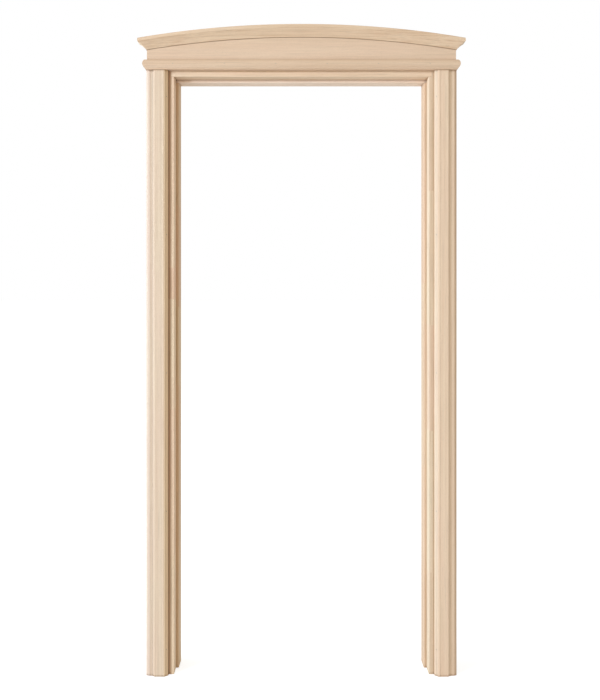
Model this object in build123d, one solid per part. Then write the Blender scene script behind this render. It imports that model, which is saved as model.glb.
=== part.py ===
from build123d import *
import os
from math import asin, cos, degrees, radians, sin

# Interior door frame in unfinished hardwood: two jambs with a head housed between them,
# planted stops, moulded casings, and an arched header that stands on the casings.
# Millimetres. X runs across the doorway, +Y goes into the wall, +Z is up.
# The origin is on the floor, at the middle of the frame's width and of its depth.

# Door leaf that the frame takes, and the gaps it hangs with
leaf_width = 863.6
leaf_height = 2032
leaf_thickness = 44.5
side_gap = 3.2
head_gap = 3
floor_gap = 5
stop_gap = 2.5

# Jambs, their housed head and the relief grooves along their backs
jamb_thickness = 32
jamb_depth = 116
jamb_arris = 1.5
housing_depth = 10
horn_height = 12
relief_width = 6
relief_depth = 5
relief_spacing = 39

# Planted stops
stop_thickness = 10
stop_width = 57
stop_arris = 2.5

# Casings, with the jamb edge that they leave in sight
casing_width = 76
casing_thickness = 19
side_margin = 18
head_margin = 20

# Casing moulding, from its outer edge inwards: shoulder, land, cove, field, raised band, ogee
outer_edge = 3.6
shoulder_width = 14.5
shoulder_top = 11.6
land_width = 5
cove_width = 10.5
cove_top = 17.6
cove_sagitta = 0.9
field_top = 18.2
band_width = 7.5
band_fall = 0.8
ogee_width = 11
ogee_sagitta = 0.5
inner_edge = 8
back_relief = 1.5
back_outer_land = 12
back_inner_land = 22

# Header: frieze board with an arched top
frieze_thickness = 19
frieze_setback = 4.5
frieze_height = 110
frieze_arris = 0.8
arch_radius = 3300

# Neck bead along the foot of the frieze
neck_height = 32
neck_projection = 13.5
neck_nose_height = 17.5
neck_top = 7.5
neck_fillet_width = 4.5
neck_fillet_height = 2.5

# Crown that follows the arch, and the quirk in the frieze under its foot
crown_height = 37
crown_projection = 27.5
crown_fillet_width = 2.5
crown_fillet_height = 1.5
crown_cove_end = 25
crown_cove_sagitta = 1.2
crown_soffit = 25
crown_nose_chamfer = 1.5
crown_quirk_height = 1.6
crown_quirk_depth = 2.5

# Fasteners and their bores
bore_clearance = 0.05
nail_set = 1
nail_bore_cover = 5
nail_width = 1.6
nail_thickness = 1.4
nail_head_width = 2.9
nail_head_height = 0.9
nail_point = 2.4
jamb_screw_length = 63
jamb_screw_diameter = 4.2
jamb_screw_head = 8.4
jamb_screw_spacing = 66
jamb_screw_count = 2
drive_width = 2.6
drive_depth = 2.2
casing_nail_length = 38
casing_nail_count = 5
frieze_nail_count = 5
stop_nail_length = 30
stop_nail_count = 5
head_stop_nail_count = 3
neck_nail_length = 25
neck_nail_count = 6
crown_nail_length = 30
crown_nail_count = 5
crown_nail_drop = 7.5
nail_end_margin = 90

# Worked out from the sizes above
opening_width = leaf_width + 2 * side_gap
opening_height = floor_gap + leaf_height + head_gap
rebate_depth = leaf_thickness + stop_gap
half_opening = opening_width / 2
jamb_back = half_opening + jamb_thickness
jamb_height = opening_height + jamb_thickness + horn_height
casing_inner = half_opening + side_margin
casing_outer = casing_inner + casing_width
header_foot = opening_height + head_margin
header_reach = frieze_thickness + crown_projection
wall_y = (header_reach - jamb_depth) / 2
frieze_front = wall_y - frieze_thickness
half_frieze = casing_outer - frieze_setback
crown_foot = header_foot + frieze_height
arch_centre = crown_foot + crown_height - arch_radius
foot_radius = arch_radius - crown_height
wall_plane = Plane(origin=(0, wall_y, 0), x_dir=(1, 0, 0), z_dir=(0, -1, 0))


def even_places(count, first, last):
    """Evenly spaced values from first to last."""
    step = (last - first) / (count - 1)
    return [first + step * index for index in range(count)]


def mirrored_pair(right):
    """The left-hand and right-hand copies of a piece that is built on the right."""
    return mirror(right, about=Plane.YZ), right


# Fasteners point along +Z, with the top of the head at the origin.
# A clearance turns each of them into the bore that it sits in.
def nail(length, clearance=0, cover=0):
    """Finish nail of flat wire with a T head along X. Cover is the depth of hole above its head."""
    head = nail_head_width / 2 + clearance
    shank = nail_width / 2 + clearance
    half_outline = Polyline(
        (0, -cover),
        (head, -cover),
        (head, nail_head_height),
        (shank, nail_head_height),
        (shank, length - nail_point),
        (0, length + clearance),
        close=True,
    )
    half = extrude(Plane.XZ * make_face(half_outline), nail_thickness / 2 + clearance, both=True)
    return half + mirror(half, about=Plane.YZ)


def screw_blank(clearance=0):
    """Countersunk jamb screw with its square drive still to be cut."""
    head = jamb_screw_head / 2 + clearance
    shank = jamb_screw_diameter / 2 + clearance
    half_outline = Polyline(
        (0, 0),
        (head, 0),
        (shank, head - shank),
        (shank, jamb_screw_length - jamb_screw_diameter),
        (0, jamb_screw_length + clearance),
        close=True,
    )
    return revolve(Plane.XZ * make_face(half_outline), Axis.Z)


def jamb_screw():
    drive = Pos(0, 0, drive_depth / 2) * Box(drive_width, drive_width, drive_depth)
    return screw_blank() - drive


def nail_bore(length):
    return nail(length, bore_clearance, nail_bore_cover)


# Where each group of fasteners goes, with the heads of the nails along the grain.
# Side groups are given for the right-hand side.
def jamb_screw_places():
    reach = jamb_screw_spacing * (jamb_screw_count - 1) / 2
    middle = wall_y + jamb_depth / 2
    height = opening_height + jamb_thickness / 2
    return [
        Plane(origin=(jamb_back, y, height), z_dir=(-1, 0, 0))
        for y in even_places(jamb_screw_count, middle - reach, middle + reach)
    ]


def stop_middle():
    return wall_y + rebate_depth + stop_width / 2


def side_stop_nail_places():
    face = half_opening - stop_thickness + nail_set
    top = opening_height - stop_thickness - nail_end_margin
    return [
        Plane(origin=(face, stop_middle(), height), x_dir=(0, 0, 1), z_dir=(1, 0, 0))
        for height in even_places(stop_nail_count, nail_end_margin, top)
    ]


def head_stop_nail_places():
    face = opening_height - stop_thickness + nail_set
    end = half_opening - nail_end_margin
    return [
        Plane(origin=(x, stop_middle(), face), x_dir=(1, 0, 0), z_dir=(0, 0, 1))
        for x in even_places(head_stop_nail_count, -end, end)
    ]


def casing_nail_places():
    """Through the middle of the ogee into the edge of the jamb."""
    x = casing_inner + ogee_width / 2
    ogee_middle = (casing_thickness - band_fall + inner_edge) / 2
    y = wall_y - ogee_middle + nail_set
    return [
        Plane(origin=(x, y, height), x_dir=(0, 0, 1), z_dir=(0, 1, 0))
        for height in even_places(casing_nail_count, nail_end_margin, header_foot - nail_end_margin)
    ]


def frieze_nail_places():
    """Through the foot of the frieze, behind the neck bead, into the edge of the head."""
    height = (header_foot + opening_height + jamb_thickness) / 2
    end = half_opening - nail_end_margin
    return [
        Plane(origin=(x, frieze_front + nail_set, height), x_dir=(1, 0, 0), z_dir=(0, 1, 0))
        for x in even_places(frieze_nail_count, -end, end)
    ]


def neck_nail_places():
    y = frieze_front - neck_projection + nail_set
    height = header_foot + neck_nose_height
    end = half_frieze - nail_end_margin
    return [
        Plane(origin=(x, y, height), x_dir=(1, 0, 0), z_dir=(0, 1, 0))
        for x in even_places(neck_nail_count, -end, end)
    ]


def crown_nail_places():
    """From the back of the frieze into the crown's nose, spread along the arch."""
    radius = arch_radius - crown_nail_drop
    end = asin((half_frieze - nail_end_margin) / radius)
    return [
        Plane(
            origin=(radius * sin(angle), wall_y - nail_set, arch_centre + radius * cos(angle)),
            x_dir=(1, 0, 0),
            z_dir=(0, -1, 0),
        )
        for angle in even_places(crown_nail_count, -end, end)
    ]


def copies(shape, places):
    return [place * shape for place in places]


def both_sides(shapes):
    return [mirror(shape, about=Plane.YZ) for shape in shapes] + shapes


def jamb_section():
    """Section of a jamb board: X through its thickness with the face at 0, Y in depth from the wall plane."""
    board = Pos(jamb_thickness / 2, jamb_depth / 2) * Rectangle(jamb_thickness, jamb_depth)
    board = fillet(board.vertices(), jamb_arris)
    for offset in (-relief_spacing / 2, relief_spacing / 2):
        groove = Rectangle(2 * relief_depth, relief_width)
        board -= Pos(jamb_thickness, jamb_depth / 2 + offset) * groove
    return board


def right_jamb():
    jamb = extrude(Pos(half_opening, wall_y) * jamb_section(), jamb_height)
    housing = Box(
        housing_depth,
        jamb_depth,
        jamb_thickness,
        align=(Align.MIN, Align.MIN, Align.MIN),
    )
    jamb -= Pos(half_opening, wall_y, opening_height) * housing
    jamb -= copies(screw_blank(bore_clearance), jamb_screw_places())
    jamb -= copies(nail_bore(stop_nail_length), side_stop_nail_places())
    return jamb - copies(nail_bore(casing_nail_length), casing_nail_places())


def head_jamb():
    """The same board laid flat, with its face down and its ends in the housings."""
    half_length = half_opening + housing_depth
    end = Plane(origin=(half_length, wall_y, opening_height), x_dir=(0, 0, 1), z_dir=(-1, 0, 0))
    head = extrude(end * jamb_section(), 2 * half_length)
    head -= both_sides(copies(screw_blank(bore_clearance), jamb_screw_places()))
    head -= copies(nail_bore(stop_nail_length), head_stop_nail_places())
    return head - copies(nail_bore(casing_nail_length), frieze_nail_places())


def stop_section():
    """Section of a stop: X out of the jamb face, Y along its width, with its two free corners eased."""
    stop = Pos(stop_thickness / 2, stop_width / 2) * Rectangle(stop_thickness, stop_width)
    return fillet(stop.vertices().group_by(Axis.X)[-1], stop_arris)


def right_stop():
    foot = Plane(origin=(half_opening, wall_y + rebate_depth, 0), x_dir=(-1, 0, 0), z_dir=(0, 0, -1))
    stop = extrude(foot * stop_section(), -(opening_height - stop_thickness))
    return stop - copies(nail_bore(stop_nail_length), side_stop_nail_places())


def head_stop():
    origin = (-half_opening, wall_y + rebate_depth, opening_height)
    end = Plane(origin=origin, x_dir=(0, 0, -1), z_dir=(1, 0, 0))
    stop = extrude(end * stop_section(), opening_width)
    return stop - copies(nail_bore(stop_nail_length), head_stop_nail_places())


def casing_section():
    """Casing moulding: X from the outer edge inwards, Y out from the wall."""
    cove_start = (shoulder_width + land_width, shoulder_top)
    cove_finish = (shoulder_width + land_width + cove_width, cove_top)
    ogee_start = casing_width - ogee_width
    ogee_top = casing_thickness - band_fall
    ogee_middle = (casing_width - ogee_width / 2, (ogee_top + inner_edge) / 2)
    band_start = ogee_start - band_width
    band_rise = casing_thickness - field_top
    with BuildSketch() as section:
        with BuildLine():
            Line((0, 0), (0, outer_edge))
            EllipticalCenterArc(
                (shoulder_width, outer_edge),
                shoulder_width,
                shoulder_top - outer_edge,
                start_angle=90,
                arc_size=90,
            )
            Line((shoulder_width, shoulder_top), cove_start)
            SagittaArc(cove_start, cove_finish, -cove_sagitta)
            Polyline(
                cove_finish,
                (cove_finish[0], field_top),
                (band_start, field_top),
                (band_start + band_rise, casing_thickness),
            )
            TangentArc(
                (band_start + band_rise, casing_thickness),
                (ogee_start, ogee_top),
                tangent=(1, 0),
            )
            SagittaArc((ogee_start, ogee_top), ogee_middle, -ogee_sagitta)
            SagittaArc(ogee_middle, (casing_width, inner_edge), ogee_sagitta)
            Polyline(
                (casing_width, inner_edge),
                (casing_width, 0),
                (casing_width - back_inner_land, 0),
                (casing_width - back_inner_land, back_relief),
                (back_outer_land, back_relief),
                (back_outer_land, 0),
                (0, 0),
            )
        make_face()
    return section.sketch


def right_casing():
    foot = Plane(origin=(casing_outer, wall_y, 0), x_dir=(-1, 0, 0), z_dir=(0, 0, 1))
    casing = extrude(foot * casing_section(), header_foot)
    return casing - copies(nail_bore(casing_nail_length), casing_nail_places())


def frieze_board():
    """Flat board whose top edge is cut to the arch, with a quirk under the crown's foot."""
    blank = Rectangle(
        2 * half_frieze,
        frieze_height + crown_height,
        align=(Align.CENTER, Align.MIN),
    )
    elevation = Pos(0, header_foot) * blank
    elevation &= Pos(0, arch_centre) * Circle(arch_radius)
    board = extrude(wall_plane * elevation, frieze_thickness)
    front = board.faces().sort_by(Axis.Y)[0]
    board = fillet(front.edges().filter_by(Axis.Z), frieze_arris)
    ring = Pos(0, arch_centre) * (Circle(foot_radius) - Circle(foot_radius - crown_quirk_height))
    quirk_floor = wall_plane.offset(frieze_thickness - crown_quirk_depth)
    board -= extrude(quirk_floor * ring, crown_quirk_depth)
    board -= copies(nail_bore(casing_nail_length), frieze_nail_places())
    board -= copies(nail_bore(neck_nail_length), neck_nail_places())
    return board - copies(nail_bore(crown_nail_length), crown_nail_places())


def neck_section():
    """Neck bead: X out from the frieze, Y up from its foot."""
    with BuildSketch() as section:
        with BuildLine():
            Polyline(
                (0, neck_height),
                (0, 0),
                (neck_fillet_width, 0),
                (neck_fillet_width, neck_fillet_height),
            )
            ThreePointArc(
                (neck_fillet_width, neck_fillet_height),
                (neck_projection, neck_nose_height),
                (neck_top, neck_height),
            )
            Line((neck_top, neck_height), (0, neck_height))
        make_face()
    return section.sketch


def crown_section():
    """Crown: X out from the frieze, Y up from its foot. Fillet, cove, soffit and eased nose."""
    cove_start = (crown_fillet_width, crown_fillet_height)
    cove_finish = (crown_cove_end, crown_soffit)
    with BuildSketch() as section:
        with BuildLine():
            Polyline(
                (0, crown_height),
                (0, 0),
                (crown_fillet_width, 0),
                cove_start,
            )
            SagittaArc(cove_start, cove_finish, crown_cove_sagitta)
            Polyline(
                cove_finish,
                (crown_projection, crown_soffit),
                (crown_projection, crown_height),
                (0, crown_height),
            )
        make_face()
        nose = section.vertices().group_by(Axis.X)[-1]
        chamfer(nose, crown_nose_chamfer)
    return section.sketch


# Both mouldings are mitred at 45 degrees at the ends of the frieze and return to the wall.
def mitre_plane(side):
    """Vertical plane through the frieze's front corner, facing out and back."""
    return Plane(origin=(side * half_frieze, frieze_front, 0), x_dir=(0, 0, 1), z_dir=(side, 1, 0))


def mitred_front(moulding):
    for side in (-1, 1):
        moulding = split(moulding, bisect_by=mitre_plane(side), keep=Keep.BOTTOM)
    return moulding


def neck_front():
    half_length = half_frieze + neck_projection
    origin = (half_length, frieze_front, header_foot)
    end = Plane(origin=origin, x_dir=(0, -1, 0), z_dir=(-1, 0, 0))
    front = mitred_front(extrude(end * neck_section(), 2 * half_length))
    return front - copies(nail_bore(neck_nail_length), neck_nail_places())


def right_neck_return():
    """The section run out from the wall along the end of the frieze, as far as the mitre."""
    back = Plane(origin=(half_frieze, wall_y, header_foot), x_dir=(1, 0, 0), z_dir=(0, -1, 0))
    bead = extrude(back * neck_section(), frieze_thickness + neck_projection)
    return split(bead, bisect_by=mitre_plane(1), keep=Keep.TOP)


def crown_front():
    """The section swung about the centre of the arch, then mitred."""
    middle = Plane(origin=(0, frieze_front, crown_foot), x_dir=(0, -1, 0), z_dir=(-1, 0, 0))
    axis = Axis((0, 0, arch_centre), (0, 1, 0))
    half_angle = degrees(asin((half_frieze + crown_projection) / foot_radius))
    start = (middle * crown_section()).rotate(axis, -half_angle)
    front = mitred_front(revolve(start, axis, 2 * half_angle))
    return front - copies(nail_bore(crown_nail_length), crown_nail_places())


def right_crown_return(front):
    """The front's mitred end carried straight back, flush with the back of the frieze."""
    mitre = front.faces().filter_by(mitre_plane(1))[0]
    block = extrude(mitre, header_reach, dir=(0, 1, 0))
    return split(block, bisect_by=wall_plane, keep=Keep.TOP)


def build_nodes():
    crown = crown_front()
    left_jamb_piece, right_jamb_piece = mirrored_pair(right_jamb())
    left_stop_piece, right_stop_piece = mirrored_pair(right_stop())
    left_casing_piece, right_casing_piece = mirrored_pair(right_casing())
    left_neck_piece, right_neck_piece = mirrored_pair(right_neck_return())
    left_crown_piece, right_crown_piece = mirrored_pair(right_crown_return(crown))
    side_stop_nails = both_sides(copies(nail(stop_nail_length), side_stop_nail_places()))
    head_stop_nails = copies(nail(stop_nail_length), head_stop_nail_places())
    casing_nails = both_sides(copies(nail(casing_nail_length), casing_nail_places()))
    return {
        "left_jamb": left_jamb_piece,
        "right_jamb": right_jamb_piece,
        "head_jamb": head_jamb(),
        "left_stop": left_stop_piece,
        "right_stop": right_stop_piece,
        "head_stop": head_stop(),
        "left_casing": left_casing_piece,
        "right_casing": right_casing_piece,
        "frieze_board": frieze_board(),
        "neck_bead_front": neck_front(),
        "neck_bead_return_left": left_neck_piece,
        "neck_bead_return_right": right_neck_piece,
        "crown_front": crown,
        "crown_return_left": left_crown_piece,
        "crown_return_right": right_crown_piece,
        "head_joint_screws": both_sides(copies(jamb_screw(), jamb_screw_places())),
        "stop_nails": side_stop_nails + head_stop_nails,
        "casing_nails": casing_nails,
        "frieze_nails": copies(nail(casing_nail_length), frieze_nail_places()),
        "neck_bead_nails": copies(nail(neck_nail_length), neck_nail_places()),
        "crown_nails": copies(nail(crown_nail_length), crown_nail_places()),
    }


os.makedirs("parts", exist_ok=True)
for name, shape in build_nodes().items():
    if isinstance(shape, list):
        shape = Compound(children=shape)
    export_step(shape, f"parts/{name}.step")
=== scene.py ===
from math import pi, radians

import bpy
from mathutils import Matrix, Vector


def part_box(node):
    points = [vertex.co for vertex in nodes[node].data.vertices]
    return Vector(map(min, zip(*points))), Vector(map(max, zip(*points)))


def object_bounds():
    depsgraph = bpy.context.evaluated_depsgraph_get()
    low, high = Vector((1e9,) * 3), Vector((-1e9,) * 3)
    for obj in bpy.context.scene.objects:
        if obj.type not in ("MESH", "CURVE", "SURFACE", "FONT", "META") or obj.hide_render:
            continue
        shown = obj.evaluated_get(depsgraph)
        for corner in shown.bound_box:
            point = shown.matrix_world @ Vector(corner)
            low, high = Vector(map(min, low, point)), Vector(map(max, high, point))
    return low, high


# Door frame in unfinished beech, with moulded casings and an arched header, in a pale studio.
# Metres, in the frame's own axes: X across the doorway, +Y into the wall, +Z up.

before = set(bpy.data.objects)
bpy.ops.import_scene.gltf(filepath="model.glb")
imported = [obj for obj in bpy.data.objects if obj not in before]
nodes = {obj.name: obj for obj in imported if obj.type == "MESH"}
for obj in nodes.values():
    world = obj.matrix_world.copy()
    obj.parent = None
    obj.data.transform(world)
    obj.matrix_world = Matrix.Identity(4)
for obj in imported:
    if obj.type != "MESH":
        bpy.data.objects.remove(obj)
cad_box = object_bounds()
bpy.ops.object.select_all(action="DESELECT")


# Side jambs
# The two uprights that line the opening and stand 116 mm deep in the wall. Beech, planed on
# four sides and glued up from shorter lengths with finger joints, so the tone steps from one
# length to the next. Their arrises are sanded round, and the backs are left bare.
MM = 0.001
ALONG_X = (0, 0, 0)
ALONG_Y = (0, 0, radians(-90))
ALONG_Z = (0, radians(90), 0)


def linear(hex_colour):
    """An sRGB hex colour as linear red, green, blue and alpha."""
    channels = [int(hex_colour[i : i + 2], 16) / 255 for i in (1, 3, 5)]
    return [c / 12.92 if c <= 0.04045 else ((c + 0.055) / 1.055) ** 2.4 for c in channels] + [1]


def add(tree, kind, values, links, **settings):
    """One shader node, with its settings, the values of its sockets and what feeds them."""
    node = tree.nodes.new("ShaderNode" + kind)
    for setting, value in settings.items():
        setattr(node, setting, value)
    for socket, value in values.items():
        node.inputs[socket].default_value = value
    for socket, source in links.items():
        tree.links.new(source, node.inputs[socket])
    return node


def beech(
    name,
    along,
    cream,
    rose,
    tan,
    seed,
    lengths=((0, 0.5),),
    figure=1.0,
    bands=((0, "#FFFFFF"),),
    span=(0, 1),
    corners=1.0,
):
    """Sanded beech without a finish: dull, pale, with straight faint layers and short flecks.

    Along is the turn that lays the grain on the frame's axis. Cream and rose are the two tones
    of the early wood and tan is the late wood. Lengths are the glued-up lengths: where each
    starts in millimetres along the grain, and how far its tone goes from cream to rose.
    Figure is the contrast of the layers. Bands are tints that keep their place over the whole
    length of an upright board: where each lies, in millimetres from the board's left side, and
    the tint that it gives. On the casings and beside the left casing they are painted light and
    shade that follow the faces. Span is where the board's two sides lie along X. Corners is how
    strong the painted shade in the inner corners is: darker and browner where surfaces meet.
    """
    material = bpy.data.materials.new(name)
    material.use_nodes = True
    tree = material.node_tree
    shader = tree.nodes["Principled BSDF"]
    place = add(tree, "TexCoord", {}, {})
    grain = add(tree, "Mapping", {"Rotation": along}, {"Vector": place.outputs["Object"]})
    axes = add(tree, "SeparateXYZ", {}, {"Vector": grain.outputs["Vector"]})

    # Finger joints: the fingers are 10 mm long and repeat every 4 mm across the board. The ramp
    # that holds the tones of the lengths is 2.1 m long, which is a little more than a jamb.
    finger_length = 10
    finger_pitch = 4
    ramp_length = 2100
    finger = add(
        tree,
        "Math",
        {1: finger_pitch / 2 * MM},
        {0: axes.outputs["Y"]},
        operation="PINGPONG",
    )
    reach = add(
        tree,
        "Math",
        {1: finger_length / (finger_pitch / 2)},
        {0: finger.outputs[0], 2: axes.outputs["X"]},
        operation="MULTIPLY_ADD",
    )
    share = add(tree, "Math", {1: ramp_length * MM}, {0: reach.outputs[0]}, operation="DIVIDE")
    board = add(tree, "ValToRGB", {}, {"Fac": share.outputs[0]})
    board.color_ramp.interpolation = "CONSTANT"
    board.color_ramp.elements.remove(board.color_ramp.elements[1])
    for index, (start, tone) in enumerate(lengths):
        if index:
            board.color_ramp.elements.new(start / ramp_length)
        board.color_ramp.elements[index].color = (tone, tone, tone, 1)
    # Each length is cut from other wood, so the pattern jumps to another place at a joint.
    jump = add(
        tree,
        "VectorMath",
        {1: (3.0, 0.7, 0.7), 2: (seed, seed, seed)},
        {0: board.outputs["Color"]},
        operation="MULTIPLY_ADD",
    )
    wood = add(
        tree,
        "VectorMath",
        {},
        {0: grain.outputs["Vector"], 1: jump.outputs["Vector"]},
        operation="ADD",
    )

    # Five patterns drawn out along the grain, each with its length and width in millimetres:
    # drifts of colour, layers, streaks, fibres and ray flecks. Real streaks are 1 mm wide and
    # these are twice that, so that they show.
    patterns = []
    for length, width, detail in (
        (260, 34, 1),
        (620, 6, 2),
        (150, 2.2, 1),
        (45, 1.1, 1),
        (4.5, 0.8, 0),
    ):
        size = (1 / (length * MM), 1 / (width * MM), 1 / (width * MM))
        drawn = add(tree, "Mapping", {"Scale": size}, {"Vector": wood.outputs["Vector"]})
        patterns.append(
            add(
                tree,
                "TexNoise",
                {"Scale": 1, "Detail": detail},
                {"Vector": drawn.outputs["Vector"]},
            )
        )
    cloud, layer, streak, fibre, fleck = patterns

    # The early wood drifts from cream to rose, and thin layers of late wood run through it.
    blush = add(
        tree,
        "Math",
        {1: 0.8},
        {0: cloud.outputs["Fac"], 2: board.outputs["Color"]},
        operation="MULTIPLY_ADD",
    )
    hue = add(
        tree,
        "MapRange",
        {"From Min": 0.55, "From Max": 1.25},
        {"Value": blush.outputs[0]},
    )
    early = add(
        tree,
        "Mix",
        {6: linear(cream), 7: linear(rose)},
        {"Factor": hue.outputs["Result"]},
        data_type="RGBA",
    )
    late = add(
        tree,
        "MapRange",
        {"From Min": 0.42, "From Max": 0.72, "To Max": 0.75 * figure},
        {"Value": layer.outputs["Fac"]},
    )
    layered = add(
        tree,
        "Mix",
        {7: linear(tan)},
        {"Factor": late.outputs["Result"], 6: early.outputs[2]},
        data_type="RGBA",
    )

    # On an upright board the grain's axes turn X into -Z, so the bands are laid out along that.
    breadth = add(
        tree,
        "MapRange",
        {"From Min": -span[0], "From Max": -span[1]},
        {"Value": axes.outputs["Z"]},
    )
    band = add(tree, "ValToRGB", {}, {"Fac": breadth.outputs["Result"]})
    band.color_ramp.elements.remove(band.color_ramp.elements[1])
    for index, (distance, tint) in enumerate(bands):
        if index:
            band.color_ramp.elements.new(distance * MM / (span[1] - span[0]))
        band.color_ramp.elements[index].color = linear(tint)
    banded = add(
        tree,
        "Mix",
        {"Factor": 1},
        {6: layered.outputs[2], 7: band.outputs["Color"]},
        data_type="RGBA",
        blend_type="MULTIPLY",
    )

    # Fibres change the tone by a few hundredths. Ray flecks and streaks are darker.
    thread = add(
        tree,
        "MapRange",
        {"From Min": 0.3, "From Max": 0.7, "To Min": 0.965, "To Max": 1.03},
        {"Value": fibre.outputs["Fac"]},
    )
    ray = add(
        tree,
        "MapRange",
        {"From Min": 0.66, "From Max": 0.76, "To Min": 1, "To Max": 0.88},
        {"Value": fleck.outputs["Fac"]},
    )
    line = add(
        tree,
        "MapRange",
        {"From Min": 0.54, "From Max": 0.74, "To Min": 1.01, "To Max": 1 - 0.14 * figure},
        {"Value": streak.outputs["Fac"]},
    )
    shade = add(
        tree,
        "Math",
        {},
        {0: thread.outputs["Result"], 1: ray.outputs["Result"]},
        operation="MULTIPLY",
    )
    streaked = add(
        tree,
        "Math",
        {},
        {0: shade.outputs[0], 1: line.outputs["Result"]},
        operation="MULTIPLY",
    )

    # Painted shade: the inner corners, which the ambient occlusion finds, are darkened and
    # turned browner.
    corner_loss = 0.43
    corner_gamma = 1.75
    corner = add(tree, "AmbientOcclusion", {"Distance": 12 * MM}, {}, samples=8)
    painted_corner_shade = add(
        tree,
        "MapRange",
        {"From Min": 0.20, "From Max": 0.85, "To Min": 1 - corner_loss * corners, "To Max": 1},
        {"Value": corner.outputs["AO"]},
    )
    painted_shade_gamma = add(
        tree,
        "MapRange",
        {"From Min": 1 - corner_loss, "From Max": 1, "To Min": corner_gamma, "To Max": 1},
        {"Value": painted_corner_shade.outputs["Result"]},
    )
    darker = add(
        tree,
        "Math",
        {},
        {0: streaked.outputs[0], 1: painted_corner_shade.outputs["Result"]},
        operation="MULTIPLY",
    )
    toned = add(
        tree,
        "VectorMath",
        {},
        {0: banded.outputs[2], "Scale": darker.outputs[0]},
        operation="SCALE",
    )
    face = add(
        tree,
        "Gamma",
        {},
        {"Color": toned.outputs["Vector"], "Gamma": painted_shade_gamma.outputs["Result"]},
    )

    # End grain is darker, with growth rings 3 mm apart round a heart outside the board. The ring
    # pattern runs through 20 radians in a unit.
    ring_gap = 3 * MM
    heart = add(
        tree,
        "Mapping",
        {"Location": (0, 70 * MM, 45 * MM), "Scale": (0, 1, 1)},
        {"Vector": grain.outputs["Vector"]},
    )
    ring = add(
        tree,
        "TexWave",
        {"Scale": 2 * pi / (20 * ring_gap), "Distortion": 1.5, "Detail": 2, "Detail Scale": 0.3},
        {"Vector": heart.outputs["Vector"]},
        wave_type="RINGS",
        rings_direction="X",
    )
    cut = add(
        tree,
        "MapRange",
        {"To Min": 0.70, "To Max": 0.82},
        {"Value": ring.outputs["Fac"]},
    )
    end = add(
        tree,
        "VectorMath",
        {},
        {0: face.outputs["Color"], "Scale": cut.outputs["Result"]},
        operation="SCALE",
    )
    facing = add(tree, "Mapping", {"Rotation": along}, {"Vector": place.outputs["Normal"]})
    outward = add(tree, "SeparateXYZ", {}, {"Vector": facing.outputs["Vector"]})
    across = add(tree, "Math", {}, {0: outward.outputs["X"]}, operation="ABSOLUTE")
    sawn = add(
        tree,
        "MapRange",
        {"From Min": 0.75, "From Max": 0.95},
        {"Value": across.outputs[0]},
    )
    surface = add(
        tree,
        "Mix",
        {},
        {"Factor": sawn.outputs["Result"], 6: face.outputs["Color"], 7: end.outputs["Vector"]},
        data_type="RGBA",
    )
    tree.links.new(surface.outputs[2], shader.inputs["Base Color"])

    # Sanding leaves the hard layers a little smoother than the soft ones.
    dull = add(
        tree,
        "MapRange",
        {"From Min": 0.3, "From Max": 0.7, "To Min": 0.66, "To Max": 0.54},
        {"Value": layer.outputs["Fac"]},
    )
    tree.links.new(dull.outputs["Result"], shader.inputs["Roughness"])
    nap = add(
        tree,
        "Bump",
        {"Strength": 0.5, "Distance": 0.05 * MM},
        {"Height": fibre.outputs["Fac"]},
    )
    tree.links.new(nap.outputs["Normal"], shader.inputs["Normal"])
    shader.inputs["IOR"].default_value = 1.46
    return material


def wear(name, material):
    """Gives a CAD node its material."""
    nodes[name].data.materials[0] = material


# The left jamb's front edge turns rosier for 106 mm at hand height, between two joints. A
# browner band on the strip of its front edge beside the casing is painted shade.
low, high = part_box("left_jamb")
wear(
    "left_jamb",
    beech(
        "finger-jointed beech, left jamb",
        ALONG_Z,
        "#EDD6B8",
        "#EAC8AD",
        "#D9BA98",
        seed=0.31,
        lengths=((0, 0.35), (410, 0.55), (905, 0.3), (1282, 1.0), (1388, 0.45), (1760, 0.6)),
        bands=((0, "#FFFFFF"), (12, "#E0CCBE"), (18, "#E0CCBE"), (22, "#FFFFFF")),
        span=(low.x, high.x),
        corners=0.25,
    ),
)
# Its tones are less saturated than the left jamb's: painted light, as its reveal faces the
# softbox. Past its first few millimetres, the right jamb is a little darker and rosier.
low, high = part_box("right_jamb")
wear(
    "right_jamb",
    beech(
        "finger-jointed beech, right jamb",
        ALONG_Z,
        "#E9DBC2",
        "#E6CDB6",
        "#D5BEA0",
        seed=1.73,
        lengths=((0, 0.5), (350, 0.3), (830, 0.65), (1195, 0.4), (1650, 0.55)),
        bands=((0, "#FFFFFF"), (2, "#FFFFFF"), (6, "#F3EDE9")),
        span=(low.x, high.x),
        corners=0.6,
    ),
)

# Head jamb
# The same board laid across the top of the opening, with its ends in the side jambs'
# housings. Beech in one length, so its tone is even.
wear(
    "head_jamb",
    beech("planed beech, head", ALONG_X, "#E9D2B6", "#E7C9AF", "#D8BA9A", seed=2.2),
)


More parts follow.
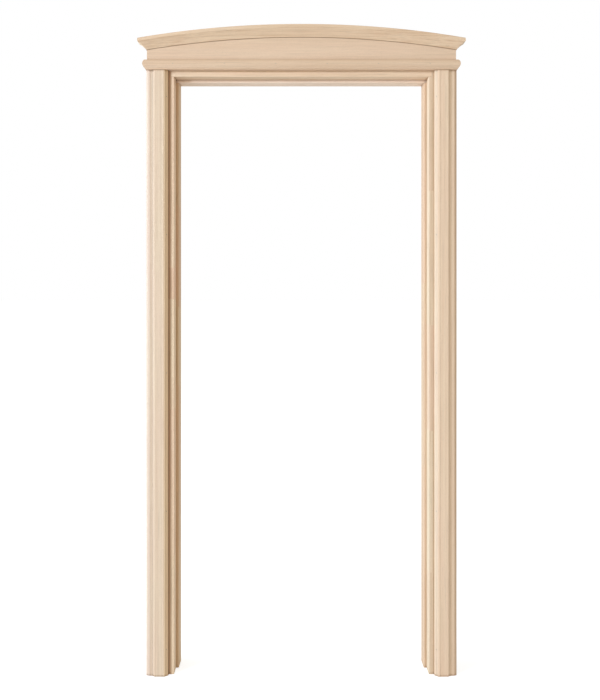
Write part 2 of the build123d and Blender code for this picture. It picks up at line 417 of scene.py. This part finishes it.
# Screws of the head joint
# Two countersunk wood screws through each side jamb into the end of the head. Carbon steel,
# cold headed, with a bright zinc coat.
def zinc_coated(name, crystal, detail, dark, light, smooth, rough):
    """Steel with a zinc coat: a grey metal whose crystals break up its reflections.

    Crystal is the width of the zinc crystals, and detail how far they break up. Dark and light
    are their two tones, and smooth and rough are the two ends of the roughness.
    """
    material = bpy.data.materials.new(name)
    material.use_nodes = True
    tree = material.node_tree
    shader = tree.nodes["Principled BSDF"]
    place = add(tree, "TexCoord", {}, {})
    spangle = add(
        tree,
        "TexNoise",
        {"Scale": 1 / crystal, "Detail": detail},
        {"Vector": place.outputs["Object"]},
    )
    tone = add(
        tree,
        "Mix",
        {6: linear(dark), 7: linear(light)},
        {"Factor": spangle.outputs["Fac"]},
        data_type="RGBA",
    )
    dull = add(
        tree,
        "MapRange",
        {"To Min": smooth, "To Max": rough},
        {"Value": spangle.outputs["Fac"]},
    )
    tree.links.new(tone.outputs[2], shader.inputs["Base Color"])
    tree.links.new(dull.outputs["Result"], shader.inputs["Roughness"])
    shader.inputs["Metallic"].default_value = 1
    return material


wear(
    "head_joint_screws",
    zinc_coated("bright zinc on steel", 1.5 * MM, 2, "#BDBDBA", "#D6D5D0", 0.26, 0.42),
)

# Stops
# Three thin boards planted on the jambs and the head, which the closed leaf meets. Beech,
# planed, with the two free corners rounded, butted under the head stop.
# The left stop's tones are darker and browner than the right stop's: painted shade, as its side
# faces away from the softbox.
wear(
    "left_stop",
    beech(
        "finger-jointed beech, left stop",
        ALONG_Z,
        "#DBBF9C",
        "#D6B291",
        "#C7A47F",
        seed=3.4,
        lengths=((0, 0.4), (520, 0.6), (980, 0.3), (1255, 0.9), (1600, 0.5)),
        corners=0.25,
    ),
)
wear(
    "right_stop",
    beech(
        "finger-jointed beech, right stop",
        ALONG_Z,
        "#DFC9AE",
        "#DABBA2",
        "#CBAD8E",
        seed=3.9,
        lengths=((0, 0.5), (690, 0.35), (1330, 0.6)),
        corners=0.6,
    ),
)
# Its tones are paler than the side stops': painted light on its underside, which faces the
# floor.
wear(
    "head_stop",
    beech("planed beech, head stop", ALONG_X, "#F8E6D4", "#F6DCCB", "#E8CDB4", seed=4.3),
)

# Stop nails
# Finish nails of flat wire that hold the stops. Steel wire, drawn and galvanized, which
# leaves it duller than the screws.
galvanized = zinc_coated("galvanized steel wire", 0.8 * MM, 3, "#9FA09E", "#B9B9B5", 0.42, 0.6)
wear("stop_nails", galvanized)

# Casings
# The moulded boards that cover the joint between jamb and wall, from the floor to the
# header. Solid beech, run through a moulder in one length, so the layers are calm. Bands of
# tint keep their place from top to bottom along the moulded faces: painted light and shade.
# Nailed to the jambs' front edges.
low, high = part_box("left_casing")
wear(
    "left_casing",
    beech(
        "moulded beech, left casing",
        ALONG_Z,
        "#E7D4BA",
        "#E5CBB5",
        "#D8BCA2",
        seed=5.1,
        figure=0.65,
        # Painted light and shade across the moulding: a cool painted sheen on the outer
        # shoulder, painted shade in the quirk and on the cove's lit wall, a warm painted shade
        # on the ogee and a dark painted shadow at the inner edge.
        bands=(
            (0, "#F0F1F9"),
            (14, "#F0F1F9"),
            (15, "#E6E1DF"),
            (19, "#EEEEEE"),
            (22, "#D6D5D4"),
            (25, "#DBDAD9"),
            (27, "#E6E5E4"),
            (29, "#EDECEA"),
            (31, "#F6F6F6"),
            (60, "#F6F6F6"),
            (64, "#FFF9EC"),
            (74.5, "#FFF4E2"),
            (76, "#B5A191"),
        ),
        span=(low.x, high.x),
    ),
)
low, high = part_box("right_casing")
wear(
    "right_casing",
    beech(
        "moulded beech, right casing",
        ALONG_Z,
        "#E8D1B6",
        "#E5C8B0",
        "#D9BA9D",
        seed=5.8,
        figure=0.7,
        # Painted light and shade across the moulding: cool painted shade over part of the
        # highlight on the ogee, and painted shade on the cove and the outer shoulder, which face
        # away from the softbox.
        bands=(
            (0, "#FFFFFF"),
            (1, "#F4F9FB"),
            (6, "#F4F9FB"),
            (8.5, "#EAEEF0"),
            (11, "#FFFFFF"),
            (51, "#FFFFFF"),
            (55, "#F6F2EA"),
            (58, "#EDEAE6"),
            (62, "#FFFFFF"),
            (66, "#FFFFFF"),
            (69, "#E8E1DA"),
        ),
        span=(low.x, high.x),
    ),
)
wear("casing_nails", galvanized)

# Frieze board
# The flat board of the header, with its top edge bandsawn to the arch. Beech, flat sawn and
# planed, with the grain along the board, and nailed to the head's front edge.
wear(
    "frieze_board",
    beech(
        "flat-sawn beech, frieze",
        ALONG_X,
        "#DEC5AC",
        "#DBBEA5",
        "#D0B395",
        seed=6.6,
        figure=0.55,
        corners=0.4,
    ),
)
wear("frieze_nails", galvanized)

# Neck bead
# The half-round bead along the frieze's foot, mitred at both ends and returned to the wall.
# Beech, moulded in one run and cut up, so the returns have their grain towards the wall.
# Nailed to the frieze.
neck_tones = ("#DCC3A8", "#D9BBA1", "#CCAC8E")
wear(
    "neck_bead_front",
    beech("moulded beech, neck bead", ALONG_X, *neck_tones, seed=7.2, figure=0.7),
)
neck_return = beech("moulded beech, neck returns", ALONG_Y, *neck_tones, seed=7.9)
wear("neck_bead_return_left", neck_return)
wear("neck_bead_return_right", neck_return)
wear("neck_bead_nails", galvanized)

# Crown
# The arched top moulding with its two returns. Cut to the curve from wide straight boards, so
# the grain runs out along the arch and the streaks show more than on the frieze. Nailed from
# the frieze's back.
crown_tones = ("#E2CAAD", "#DEC1A5", "#CCAA8A")
wear(
    "crown_front",
    beech("moulded beech, crown", ALONG_X, *crown_tones, seed=8.3, figure=0.95, corners=0.4),
)
crown_return = beech("moulded beech, crown returns", ALONG_Y, *crown_tones, seed=8.8)
wear("crown_return_left", crown_return)
wear("crown_return_right", crown_return)
wear("crown_nails", galvanized)

# Floor
# A plain pale floor, wide enough to run out of sight. Matt white paint, rolled on, so it shows
# no reflections. It glows for the camera, so that no line shows where it meets the room.
bpy.ops.mesh.primitive_plane_add(size=80, location=(0, 0, 0))
floor = bpy.context.object
floor.name = "floor"
floor_paint = bpy.data.materials.new("matt white floor paint")
floor_paint.use_nodes = True
floor_tree = floor_paint.node_tree
floor_shader = floor_tree.nodes["Principled BSDF"]
floor_shader.inputs["Base Color"].default_value = linear("#E2E4E6")
floor_shader.inputs["Roughness"].default_value = 0.85
floor_shader.inputs["Emission Color"].default_value = linear("#F4F8FF")
floor_seen = add(floor_tree, "LightPath", {}, {})
floor_glow = add(
    floor_tree,
    "MapRange",
    {"To Min": 0.09, "To Max": 0.60},
    {"Value": floor_seen.outputs["Is Camera Ray"]},
)
floor_tree.links.new(floor_glow.outputs["Result"], floor_shader.inputs["Emission Strength"])
floor.data.materials.append(floor_paint)

# Light
# A cool softbox at the left front, a fill at the left and a weak one behind, and the warmer
# white room around them, which looks white where the camera sees it.
world = bpy.data.worlds.new("white room")
bpy.context.scene.world = world
world.use_nodes = True
room = world.node_tree.nodes["Background"]
seen = add(world.node_tree, "LightPath", {}, {})
wall_tone = add(
    world.node_tree,
    "Mix",
    {6: (0.63, 0.59, 0.50, 1), 7: (1, 1, 1, 1)},
    {"Factor": seen.outputs["Is Camera Ray"]},
    data_type="RGBA",
)
world.node_tree.links.new(wall_tone.outputs[2], room.inputs["Color"])

for name, place, width, height, watts, colour, tilt, turn in (
    ("key softbox", (-7.72, -6.4, 2.6), 1.6, 3.2, 700, (0.81, 0.89, 1.0), 81.5, -50.5),
    ("side fill", (-6.2, 0.4, 1.5), 3, 3, 160, (0.74, 0.85, 1.0), 90, -90),
    ("back fill", (6.5, 4.5, 2.2), 3, 3, 85, (0.62, 0.83, 1.0), 86, 124.7),
):
    bpy.ops.object.light_add(type="AREA", location=place)
    lamp = bpy.context.object
    lamp.name = name
    lamp.data.shape = "RECTANGLE"
    lamp.data.size = width
    lamp.data.size_y = height
    lamp.data.energy = watts
    lamp.data.color = colour
    lamp.rotation_euler = (radians(tilt), 0, radians(turn))

# Camera
# Level, at a standing person's chest, with the view shifted down so that the uprights stay
# parallel. It stands a little further back and lower than a picture of the doorway alone would
# need, so that the shift leaves the header in view from the other sides too.
jamb_depth = 116 * MM
wall_face = cad_box[1].y - jamb_depth
off_centre = -22 * MM
distance = 2832 * MM
eye_height = 1365 * MM
bpy.ops.object.camera_add(
    location=(off_centre, wall_face - distance, eye_height),
    rotation=(radians(90), 0, 0),
)
camera = bpy.context.object
camera.data.sensor_width = 36
camera.data.lens = 42.65
camera.data.shift_x = 0.0072
camera.data.shift_y = -0.108
bpy.context.scene.camera = camera
bpy.context.scene.view_settings.view_transform = "Standard"
